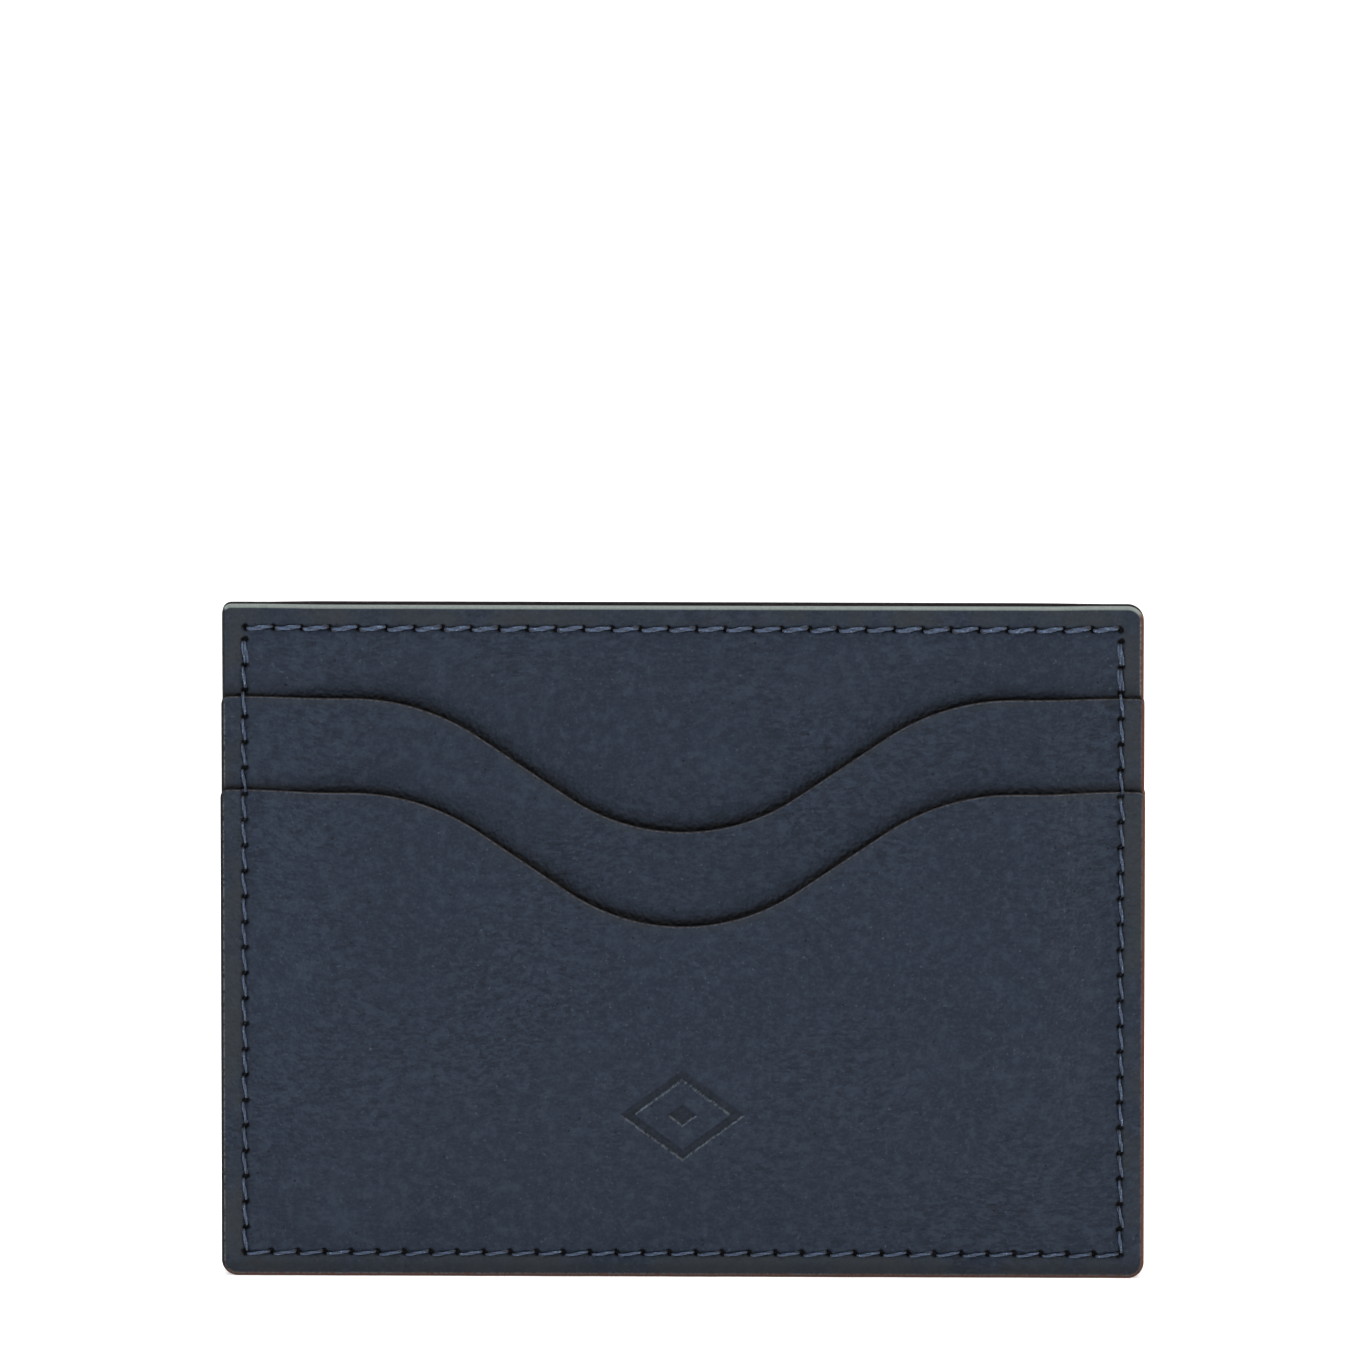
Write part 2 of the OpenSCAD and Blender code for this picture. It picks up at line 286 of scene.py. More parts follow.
def lowerFace(x, z):
    # the lower pocket's back plus its thickness
    return lowerBack(x, z) + leather["pocketThickness"]


def facingBack(x, z):
    # the body's back less the facing's thickness
    return bodyBack(x, z) - leather["facingThickness"]


# seams

def makeRow(start, end, pitch):
    # a straight row of evenly spaced slits, with the whole number of stitches nearest to the pitch
    start, end = np.array(start, float), np.array(end, float)
    length = np.linalg.norm(end - start)
    count = round(length / pitch)
    return {"start": start, "along": (end - start) / length, "length": length, "count": count,
            "pitch": length / count}


leftRow = makeRow((-seamX, seamTopZ), (-seamX, seamZ), stitching["assemblyPitch"])
bottomRow = makeRow((-seamX, seamZ), (seamX, seamZ), stitching["assemblyPitch"])
rightRow = makeRow((seamX, seamZ), (seamX, seamTopZ), stitching["assemblyPitch"])
hemRow = makeRow((-hemX, hemZ), (hemX, hemZ), stitching["hemPitch"])
stopRow = makeRow((-stopX, stopZ), (stopX, stopZ), stitching["assemblyPitch"])
assemblyRows = [leftRow, bottomRow, rightRow]


def seamRelief(x, z, rows):
    # how far the leather sinks and its painted shade in the slits: for each row a slit exp(-(u / half)^4 - (v /
    # width)^2) at each stitch, a softer one round it, a groove under the thread and a wide pinch; rows don't
    # add up
    sink, paintedShade = np.zeros_like(x), np.zeros_like(x)
    turn = math.radians(stitching["slitTurn"])
    ux, uz = math.cos(turn), -math.sin(turn)
    for row in rows:
        ax, az = row["along"]
        s = (x - row["start"][0]) * ax + (z - row["start"][1]) * az
        across = -(x - row["start"][0]) * az + (z - row["start"][1]) * ax
        fromSlit = s - np.clip(np.round(s / row["pitch"]), 0, row["count"]) * row["pitch"]
        aside = across - (0.0 if row is hemRow else stitching["slitShift"])
        u, v = fromSlit * ux + aside * uz, -fromSlit * uz + aside * ux
        slit = np.exp(-(u / stitching["slitHalf"]) ** 4 - (v / stitching["slitWidth"]) ** 2)
        rim = np.exp(-(u / stitching["rimHalf"]) ** 2 - (v / stitching["rimWidth"]) ** 2)
        bed = bell(across, stitching["bedWidth"]) * (np.abs(s - row["length"] / 2) < row["length"] / 2)
        past = stitching["pinchPast"]
        pinch = smooth(s + past) * smooth(row["length"] - s + past) * bell(across, stitching["pinchWidth"])
        here = (stitching["slitDepth"] * slit + stitching["rimDepth"] * rim + stitching["bedDepth"] * bed
                + stitching["pinch"] * pinch)
        sink = np.maximum(sink, here)
        paintedShade = np.maximum(paintedShade, smooth((slit - 0.12) / 0.4))
    return sink, paintedShade


# grids: columns and rows inside an outline, closer where there is more to show

grid = {
    "columnSteps": (0.5, 0.24, 0.11, 0.2),      # beyond the mark's place, to the seam, over it and past it
    "rowStep": 0.42,
    "bandStep": 0.2,        # beside a level seam
    "slitStep": 0.11,       # over a level seam
    "slitHalf": 0.55,
    "seamBand": 1.5,        # the finely gridded band on each side of a seam
    "stripReach": 2.4,      # the side strips start this far inside the side seams
    "slitOffsets": (-0.72, -0.52, -0.36, -0.24, -0.12, 0.0, 0.12, 0.24, 0.36, 0.52, 0.72),
    "lipOffsets": (0.1, 0.2, 0.3, 0.42, 0.55, 0.7, 0.95),
    "lipReach": 1.3,        # the rows are closer over this height below a lip
    "leastGap": 0.045,
    "markStep": 0.17,
    "markRowStep": 0.165,
    "markHalfHeight": 5.6,
}


def evenLines(stops, steps):
    # lines from stop to stop, each stretch with its own spacing
    parts = []
    for a, b, step in zip(stops, stops[1:], steps):
        parts.append(np.linspace(a, b, max(2, math.ceil((b - a) / step) + 1))[:-1])
    return np.concatenate(parts + [[stops[-1]]])


def closerLines(lines, details):
    # the even lines plus lines round each slit, leaving out what would nearly double a line; the second
    # array says which of them were there before
    near = np.array(details)[:, None] + np.array(grid["slitOffsets"])[None, :]
    near = np.unique(np.round(near.ravel(), 4))
    near = near[(near > lines[0]) & (near < lines[-1])]
    if len(near):
        near = near[np.abs(near[:, None] - lines[None, :]).min(1) > grid["leastGap"]]
    every = np.concatenate([lines, near])
    order = np.argsort(every)
    return every[order], (np.arange(len(every)) < len(lines))[order]


def panelColumns(half, row, middleStep=0.5):
    # columns out from the middle: the mark's place, the pocket, the side seam, then the rounded corner's own,
    # at half - r (1 - sin a); mirrored to the left, with closer ones at the slits of a level row
    arc = half - corner * (1 - np.sin(np.radians(np.arange(90, 0, -10))))
    step = grid["columnSteps"]
    seamIn, seamOut = seamX - grid["slitHalf"], seamX + grid["slitHalf"]
    stops = [0, mark["width"] / 2 + 0.6, seamX - grid["seamBand"] - 0.8, seamIn]
    steps = [middleStep, step[0], step[1], step[2]]
    if half - corner > seamOut + 0.01:
        stops.append(seamOut)
        steps.append(step[3])
    inner = evenLines(stops + [half - corner], steps)
    right = np.unique(np.concatenate([inner, arc]))
    right = right[np.concatenate([[True], np.diff(right) > 0.02])]
    columns = np.concatenate([-right[:0:-1], right])
    if row is None:
        return columns, np.ones(len(columns), bool)
    return closerLines(columns, row["start"][0] + np.arange(row["count"] + 1) * row["pitch"])


def panelRows(low, high, seamStart, seamStop, bands):
    # even rows, closer in the bands (from, to, step) and below the lip, and at the side seam's slits from
    # seamStart to seamStop
    stops, steps, at = [low], [], low
    for start, end, step in sorted(bands):
        if start > at + 0.01:
            stops.append(start)
            steps.append(grid["rowStep"])
        stops.append(end)
        steps.append(step)
        at = end
    if high > at + 0.01:
        stops.append(high)
        steps.append(grid["rowStep"])
    lines = evenLines(stops, steps)
    lipStart = high - grid["lipReach"]
    lip = high - np.array(grid["lipOffsets"])
    plain = np.unique(np.concatenate([lines[lines < lipStart], [lipStart, high], lip]))
    slits = seamZ + np.arange(leftRow["count"] + 1) * leftRow["pitch"]
    return closerLines(plain, slits[(slits > seamStart) & (slits < seamStop)])


def seamBands(z, start, end):
    # a level seam's bands of rows: fine over its slits and less so from start and to end
    low, high = z - grid["slitHalf"], z + grid["slitHalf"]
    return [(start, low, grid["bandStep"]), (low, high, grid["slitStep"]), (high, end, grid["bandStep"])]


def cellCorners(cols, rows, width):
    # the four corners of each cell between the given lines of a grid, anticlockwise
    cols, rows = np.array(cols), np.array(rows)
    a = rows[:-1, None] * width + cols[None, :-1]
    b = rows[:-1, None] * width + cols[None, 1:]
    c = rows[1:, None] * width + cols[None, 1:]
    d = rows[1:, None] * width + cols[None, :-1]
    return np.stack([a, b, c, d], -1)


def quadFaces(cols, rows, width):
    # every cell as a face
    return cellCorners(cols, rows, width).reshape(-1, 4).tolist()


def blockFaces(cols, rows, width, below, above, beside):
    # the cells of a coarse block over the full grid: those on its border also take the finer points there
    inside = cellCorners(cols, rows, width)[1:-1, 1:-1].reshape(-1, 4).tolist()

    def between(points, low, high):
        return [int(p) for p in points if low < p < high]

    lastCol, lastRow = len(cols) - 2, len(rows) - 2
    border = []
    for j in range(len(rows) - 1):
        for i in (range(len(cols) - 1) if j in (0, lastRow) else (0, lastCol)):
            c0, c1, r0, r1 = int(cols[i]), int(cols[i + 1]), int(rows[j]), int(rows[j + 1])
            face = [r0 * width + c0]
            face += [r0 * width + p for p in between(below, c0, c1)] if j == 0 else []
            face += [r0 * width + c1]
            face += [p * width + c1 for p in between(beside, r0, r1)] if i == lastCol else []
            face += [r1 * width + c1]
            face += [r1 * width + p for p in between(above, c0, c1)[::-1]] if j == lastRow else []
            face += [r1 * width + c0]
            face += [p * width + c0 for p in between(beside, r0, r1)[::-1]] if i == 0 else []
            border.append(face)
    return inside + border


def faceCells(columns, plainCol, levels, plainRow, band):
    # a panel's face: side strips and the band keep every line, the rest only the plain ones; also the columns
    # that its bottom and top edge have, and the coarse columns and rows
    width, height = len(columns), len(levels)
    columnIndex, rowIndex = np.arange(width), np.arange(height)
    strip = np.abs(columns) > seamX - grid["stripReach"]
    left, right = columnIndex[strip & (columns < 0)], columnIndex[strip & (columns > 0)]
    middle = columnIndex[(columnIndex >= left[-1]) & (columnIndex <= right[0])]
    coarse = middle[plainCol[middle]]
    plainRows = rowIndex[plainRow]
    faces = quadFaces(left, rowIndex, width) + quadFaces(right, rowIndex, width)
    bottomCols = topCols = coarse
    if band:
        first = plainRows[levels[plainRows] <= max(band[0], levels[0])][-1]
        last = plainRows[levels[plainRows] >= min(band[1], levels[-1])][0]
        faces += quadFaces(middle, rowIndex[first:last + 1], width)
        if first > 0:
            faces += blockFaces(coarse, plainRows[plainRows <= first], width, coarse, middle, rowIndex)
        else:
            bottomCols = middle
        if last < height - 1:
            faces += blockFaces(coarse, plainRows[plainRows >= last], width, middle, coarse, rowIndex)
        else:
            topCols = middle
    else:
        faces += blockFaces(coarse, plainRows, width, coarse, coarse, rowIndex)
    bottomEdge = np.concatenate([left[:-1], bottomCols, right[1:]])
    topEdge = np.concatenate([left[:-1], topCols, right[1:]])
    return faces, bottomEdge, topEdge, coarse, plainRows


def addMesh(name, points, faces, finish, turned):
    # turned puts the piece on the back: half a turn about the upright axis, so nothing is mirrored
    points = np.array(points, float)
    if turned:
        points = points * np.array([-1.0, -1.0, 1.0])
    used, index = np.unique(np.concatenate([np.array(f) for f in faces]), return_inverse=True)
    corners = np.split(index, np.cumsum([len(f) for f in faces])[:-1])
    mesh = bpy.data.meshes.new(name)
    mesh.from_pydata((points[used] * mm).tolist(), [], [c.tolist() for c in corners])
    mesh.polygons.foreach_set("use_smooth", np.ones(len(faces), bool))
    layer = mesh.attributes.new("finish", "FLOAT_COLOR", "POINT")
    layer.data.foreach_set("color", np.array(finish, np.float32)[used].ravel())
    mesh.update()
    piece = bpy.data.objects.new(name, mesh)
    bpy.context.scene.collection.objects.link(piece)
    print("made", name, "with", len(faces), "faces")
    return piece


# panels: the finish attribute holds cut edge, painted shade, wear with painted highlights, and raw edge or,
# below 0, a painted highlight

wearAndPaintedShade = {
    "footShade": 0.4,       # painted shade below the bottom seam
    "lineWidth": 0.12,      # of the inked line along the cut edge
    # painted shade on the inked line, but not on the flank that the light catches
    "lineShade": 0.3,
    "edgeWear": 0.55,
    "edgeWidth": 0.35,
    "besideSeam": 0.75,     # the margin outside the seams is rubbed
    "leftRim": 0.95,        # painted shade on the rounded edge, seen from the front
    # painted shade on the right's and the foot's rounding
    "rightRim": 0.3,
    "footRim": 0.4,
    # painted shade on the glued back face
    "backShade": 0.15,
}


def faceMarksAndPaintedLight(x, z, outline, paintedShade, seams, turned, look, shade, paintedHighlight):
    # an inked line along the sides and the foot, wear exp(-(d / width)^2) from the edge and in the margins,
    # and painted shade in the slits, in the gap above a mouth, below the bottom seam and on the inked line; on
    # the flank that the light catches a painted highlight takes its place, and below 0 the mark's painted
    # highlight
    half, foot, top = outline["half"], outline["foot"](x), outline["top"](x)
    shaded = np.maximum(paintedShade, shade(x, z)) if shade else paintedShade
    shaded = np.maximum(shaded, wearAndPaintedShade["footShade"] * smooth((seamZ - 0.4 - z) / 1.2))
    shine = paintedHighlight(x, z) if paintedHighlight else np.zeros_like(x)
    lit = smooth(x if turned else -x)       # the flank that the light catches: no raw brown or painted shade, and a painted highlight
    line = np.maximum(smooth((look["inked"] - half + np.abs(x)) / wearAndPaintedShade["lineWidth"]),
                      smooth((look["inked"] - z + foot) / wearAndPaintedShade["lineWidth"]))
    line = line * (1 - look["leftPlain"] * lit)
    raw = line * (1 - lit * smooth((z - foot - 0.2) / 0.5))
    fromEdge = np.minimum(half - np.abs(x), np.minimum(top - z, z - foot))
    rubAndPaintedHighlight = wearAndPaintedShade["edgeWear"] * bell(np.maximum(fromEdge, 0), wearAndPaintedShade["edgeWidth"])
    margin = smooth((np.abs(x) - seamX + 0.5) / 0.8)
    if seams:
        margin = np.maximum(margin, smooth((seamZ + 0.3 - z) / 0.8) + smooth((z - hemZ + 0.1) / 0.8))
    rubAndPaintedHighlight = np.maximum(rubAndPaintedHighlight, wearAndPaintedShade["besideSeam"] * np.clip(margin, 0, 1))
    shaded = np.maximum(shaded, wearAndPaintedShade["lineShade"] * line * (1 - lit))
    marks = [line, shaded, np.maximum(rubAndPaintedHighlight, line * lit), np.where(line > 0, raw, -shine)]
    return np.stack([m.ravel() for m in marks], -1)


def edgeRings(lx, lz, frontDepth, backDepth, turned, look):
    # the cut edge round the outline: a quarter round from the face, a flat, and a small elliptical round into
    # the back; the outline's outward direction is the line between a point's neighbours, turned a quarter
    tx, tz = np.roll(lx, -1) - np.roll(lx, 1), np.roll(lz, -1) - np.roll(lz, 1)
    size = np.hypot(tx, tz)
    nx, nz = tz / size, -tx / size
    round_, small = leather["edgeRound"], leather["innerRound"]
    ring = []
    for angle in (18, 36, 54, 72, 90):
        a = math.radians(angle)
        ring.append((round_ * math.sin(a), frontDepth - round_ * (1 - math.cos(a)), angle))
    for a in np.radians([0, 30, 60]):
        ring.append((round_ * math.cos(a), backDepth + small * (1 - math.sin(a)), 90))

    # which way the edge looks, seen from the front, which sets its painted shade and painted highlight
    flank = (1 if turned else -1) * nx
    atLeft = smooth((flank - 0.7) / 0.25)
    atRight = smooth((-flank - 0.7) / 0.25)
    atFoot = smooth((-nz - 0.5) / 0.3)
    atSide = np.maximum(np.maximum(atLeft, atRight), atFoot)
    # raw brown on the right and the foot only: the left flank, which the light catches, has painted shade and a
    # painted highlight instead
    raw = np.maximum(atRight, atFoot) + look["topRaw"] * (1 - atSide)
    cutStart = look["topStart"] * (1 - atSide)
    points, marks = [], []
    for push, depth, angle in ring:
        cut = np.maximum(smooth((angle + 4 - cutStart) / 24), atSide) * (1 - look["leftPlain"] * atLeft)
        # painted shade on the rounding: the look's on the top, most on the left beyond a few degrees, some on
        # the foot and the right
        rim = look["shade"] * (1 - atSide) + wearAndPaintedShade["leftRim"] * atLeft * smooth((angle - 4) / 14)
        rim = rim + wearAndPaintedShade["footRim"] * atFoot + wearAndPaintedShade["rightRim"] * atRight * bell(angle - 10, 30)
        # painted highlight, with some wear specks, along the top's arris and round the left flank's rounding
        rubAndPaintedHighlight = look["rubAndPaintedHighlight"] * bell(angle - 50, 20) * (1 - atSide) + atLeft * bell(angle, 20)
        points.append(np.stack([lx + nx * push, -depth, lz + nz * push], -1))
        marks.append(np.stack([cut, rim, rubAndPaintedHighlight, raw], -1))
    return points, marks


def makePanel(name, outline, face, back, columns, rows, seams, band, turned, look, extraRelief=None,
              shade=None, paintedHighlight=None):
    # a sheet of leather: face and back are depths over the outline, joined by a rounded cut edge; the rows
    # bend to follow the foot over the lowest 5 mm and the top from fadeFrom to 2 mm below it
    (columns, plainCol), (levels, plainRow) = columns, rows
    width, lastRow = len(columns), len(levels) - 1
    bottom, top, fadeFrom = levels[0], levels[-1], outline["fadeFrom"]
    x, level = np.meshgrid(columns, levels)
    footShare = 1 - smooth((level - bottom) / 5.0)
    topShare = smooth((level - fadeFrom) / (top - 2.0 - fadeFrom))
    z = level + (outline["foot"](x) - bottom) * footShare - (top - outline["top"](x)) * topShare
    sink, paintedShade = seamRelief(x, z, seams)
    relief = sum(depth * ripple(x, z, size, seed) for depth, size, seed in leather["waves"])
    outer = face(x, z) - sink + relief - (extraRelief(x, z) if extraRelief else 0.0)
    inner = back(x, z)
    faces, bottomEdge, topEdge, coarse, plainRows = faceCells(columns, plainCol, levels, plainRow, band)

    # the way round the outline, anticlockwise seen from the front
    rowIndex = np.arange(lastRow + 1)
    loop = np.concatenate([bottomEdge, rowIndex[1:] * width + width - 1, lastRow * width + topEdge[::-1][1:],
                           rowIndex[-2:0:-1] * width])
    ringPoints, ringMarks = edgeRings(x.ravel()[loop], z.ravel()[loop], outer.ravel()[loop],
                                      inner.ravel()[loop], turned, look)
    none = np.zeros(x.size)
    points = [np.stack([x, -outer, z], -1).reshape(-1, 3)] + ringPoints
    points.append(np.stack([x, -inner, z], -1).reshape(-1, 3))
    marks = [faceMarksAndPaintedLight(x, z, outline, paintedShade, seams, turned, look, shade, paintedHighlight)] + ringMarks
    marks.append(np.stack([none, none + wearAndPaintedShade["backShade"], none, none], -1))
    count = len(loop)
    here, following = np.arange(count), np.roll(np.arange(count), -1)
    backBase = x.size + count * len(ringPoints)
    chains = [loop] + [x.size + k * count + here for k in range(len(ringPoints))] + [backBase + loop]
    for near, far in zip(chains, chains[1:]):
        faces += np.stack([near, far, far[following], near[following]], -1).tolist()

    # the back is a coarser grid with the same outline points
    backCols = np.concatenate([[0], coarse[::2][1:-1], [width - 1]])
    backRows = np.concatenate([[0], plainRows[::3][1:-1], [lastRow]])
    backFaces = blockFaces(backCols, backRows, width, np.sort(bottomEdge), np.sort(topEdge), rowIndex)
    faces += [[backBase + p for p in face[::-1]] for face in backFaces]
    return addMesh(name, np.concatenate(points), faces, np.concatenate(marks), turned)


# threads: how a stitch leans and how finely it is made, how deep its ends go into the leather, how far its
# middle stands off it, and whether it lies on the face (1) or on the back (-1)

needleStyle = {"slant": 1.0, "rings": 17, "sides": 10, "dive": 0.5, "lift": 0.05, "towards": 1.0}
hemBobbinStyle = {"slant": 0.3, "rings": 9, "sides": 6, "dive": 0.3, "lift": -0.05, "towards": -1.0}
stopNeedleStyle = {"slant": 0.6, "rings": 9, "sides": 6, "dive": 0.5, "lift": -0.15, "towards": 1.0}
stopBobbinStyle = {"slant": 0.3, "rings": 9, "sides": 6, "dive": 0.4, "lift": -0.15, "towards": -1.0}
twist = {"turns": 1.6, "bulge": 0.17, "grooveShade": 0.8}


def makeThread(name, rows, face, turned, radius, style, doubled=()):
    # each stitch is a tube r (1 + bulge cos(2 angle + twist)) along an arch |sin|^0.45 high, from one slit
    # into the next; doubled lists, for each row, the stitches that are sewn twice
    rings, sides, towards = style["rings"], style["sides"], style["towards"]
    points, faces, finish, base = [], [], [], 0
    for number, row in enumerate(rows):
        again = doubled[number] if doubled else ()
        index = np.array([*range(row["count"]), *again], float)
        aside = np.array([0.0] * row["count"] + [stitching["secondAside"]] * len(again))
        along = row["along"]
        side = np.array([-along[1], along[0]])
        off = along * stitching["offAlong"] - side * stitching["offAside"] * style["slant"]
        rng = np.random.default_rng(11 + number)
        start = row["start"] + (index * row["pitch"])[:, None] * along + off
        end = row["start"] + ((index + 1) * row["pitch"])[:, None] * along - off
        start = start + side * (rng.normal(0, stitching["stray"], len(index)) + aside)[:, None]
        end = end + side * (rng.normal(0, stitching["stray"], len(index)) + aside)[:, None]
        phi = np.linspace(0.0, math.pi, rings)
        s = 0.5 - 0.5 * np.sign(np.cos(phi)) * np.abs(np.cos(phi)) ** 0.55
        arch = np.abs(np.sin(phi)) ** 0.45
        flat = start[:, None, :] + (end - start)[:, None, :] * s[None, :, None]
        ground = face(flat[..., 0], flat[..., 1])
        surface = ground.mean(1)[:, None] * 0.3 + ground * 0.7
        depth = surface * towards + (arch * (style["dive"] + style["lift"]) - style["dive"])[None, :]
        centre = np.stack([flat[..., 0], -depth * towards, flat[..., 1]], -1)

        # across the thread: level beside it, and square to both
        tangent = np.gradient(centre, axis=1)
        tangent /= np.linalg.norm(tangent, axis=2, keepdims=True)
        lateral = np.cross(tangent, np.array([0.0, -1.0, 0.0]))
        lateral /= np.maximum(np.linalg.norm(lateral, axis=2, keepdims=True), 1e-6)
        normal = np.cross(lateral, tangent)
        theta = np.linspace(0, 2 * math.pi, sides, endpoint=False)
        phase = rng.uniform(0, math.pi, len(index))[:, None, None]
        plies = np.cos(2 * theta[None, None, :] + s[None, :, None] * twist["turns"] * 2 * math.pi + phase)
        swell = radius * (1 + twist["bulge"] * plies)
        tube = (centre[:, :, None, :] + lateral[:, :, None, :] * (swell * np.cos(theta))[..., None]
                + normal[:, :, None, :] * (swell * np.sin(theta))[..., None])
        # painted shade between the plies and towards the ends, where the thread goes into the leather
        sunk = (1 - arch)[None, :, None] ** 0.6
        groove = np.clip(twist["grooveShade"] * smooth(0.3 - plies) + sunk, 0, 1)
        none = np.zeros_like(groove)
        finish.append(np.stack([none, groove, none, none], -1).reshape(-1, 4))
        points.append(tube.reshape(-1, 3))
        places = np.arange(len(index) * rings * sides).reshape(len(index), rings, sides) + base
        beside = np.roll(places, -1, axis=2)
        quads = np.stack([places[:, :-1], places[:, 1:], beside[:, 1:], beside[:, :-1]], -1)
        faces += quads.reshape(-1, 4).tolist()
        faces += places[:, 0].tolist() + places[:, -1, ::-1].tolist()
        base += places.size
    return addMesh(name, np.concatenate(points), faces, np.concatenate(finish), turned)


# materials

def newMaterial(name):
    # a material, its node tree and its shader
    material = bpy.data.materials.new(name)
    material.use_nodes = True
    return material, material.node_tree, material.node_tree.nodes["Principled BSDF"]


def addNode(tree, kind, settings=None, **values):
    # a node with its properties set from settings and its unlinked sockets from values
    node = tree.nodes.new(kind)
    for key, value in (settings or {}).items():
        setattr(node, key, value)
    for key, value in values.items():
        node.inputs[key.replace("_", " ")].default_value = value
    return node


def texture(tree, kind, place, output, settings=None, **values):
    # a texture on the given coordinates
    node = addNode(tree, kind, settings, **values)
    tree.links.new(place, node.inputs["Vector"])
    return node.outputs[output]


def plug(tree, socket, value):
    # value is a socket to link, a number or a colour
    if isinstance(value, bpy.types.NodeSocket):
        tree.links.new(value, socket)
    elif isinstance(value, (int, float)):
        socket.default_value = value
    else:
        socket.default_value = (*value, 1.0)


def mixColours(tree, factor, first, second):
    # first (1 - factor) + second factor
    node = addNode(tree, "ShaderNodeMix", {"data_type": "RGBA", "clamp_factor": True})
    plug(tree, node.inputs[0], factor)
    plug(tree, node.inputs[6], first)
    plug(tree, node.inputs[7], second)
    return node.outputs[2]


def ramp(tree, source, low, high):
    # 0 at low and 1 at high, straight between and level outside; low may be the greater
    node = addNode(tree, "ShaderNodeMapRange", From_Min=low, From_Max=high)
    tree.links.new(source, node.inputs["Value"])
    return node.outputs["Result"]


def combine(tree, first, second, operation="MULTIPLY"):
    # first times second, or another sum of the two
    node = addNode(tree, "ShaderNodeMath", {"operation": operation})
    plug(tree, node.inputs[0], first)
    plug(tree, node.inputs[1], second)
    return node.outputs[0]


def readFinish(tree):
    # the mesh's finish attribute: red, green, blue and alpha
    attribute = addNode(tree, "ShaderNodeAttribute", {"attribute_name": "finish"})
    parts = addNode(tree, "ShaderNodeSeparateColor")
    tree.links.new(attribute.outputs["Color"], parts.inputs["Color"])
    return (*[parts.outputs[name] for name in ("Red", "Green", "Blue")], attribute.outputs["Alpha"])


def addBump(tree, shader, height, strength, distance):
    # distance is in metres
    bump = addNode(tree, "ShaderNodeBump", Strength=strength, Distance=distance)
    tree.links.new(height, bump.inputs["Height"])
    tree.links.new(bump.outputs["Normal"], shader.inputs["Normal"])


grain = {
    "noises": {
        "wrinkles": {"Scale": 420.0, "Detail": 4.0, "Roughness": 0.55, "Distortion": 0.5},
        "fine": {"Scale": 2600.0, "Detail": 3.0, "Roughness": 0.6},
        "broad": {"Scale": 45.0, "Detail": 2.0},
        "cloud": {"Scale": 150.0, "Detail": 4.0},
        "blotch": {"Scale": 850.0, "Detail": 4.0, "Roughness": 0.65},
    },
    "strokes": {"Scale": 900.0, "Detail": 3.0, "Roughness": 0.6, "Distortion": 0.5},
    "strokeTurn": -42.0,    # the strokes' lean, in degrees
    "strokeStretch": 2.3,
    "wander": {"Scale": 55.0, "Detail": 1.0},       # the strokes' direction wanders
    "wanderBy": 0.005,
    "pebbleScale": 2300.0,
    "pitScale": 480.0,
    "pitDepth": 0.6,
    "bump": 0.00013,
    "edgeRoughness": 0.7,
}


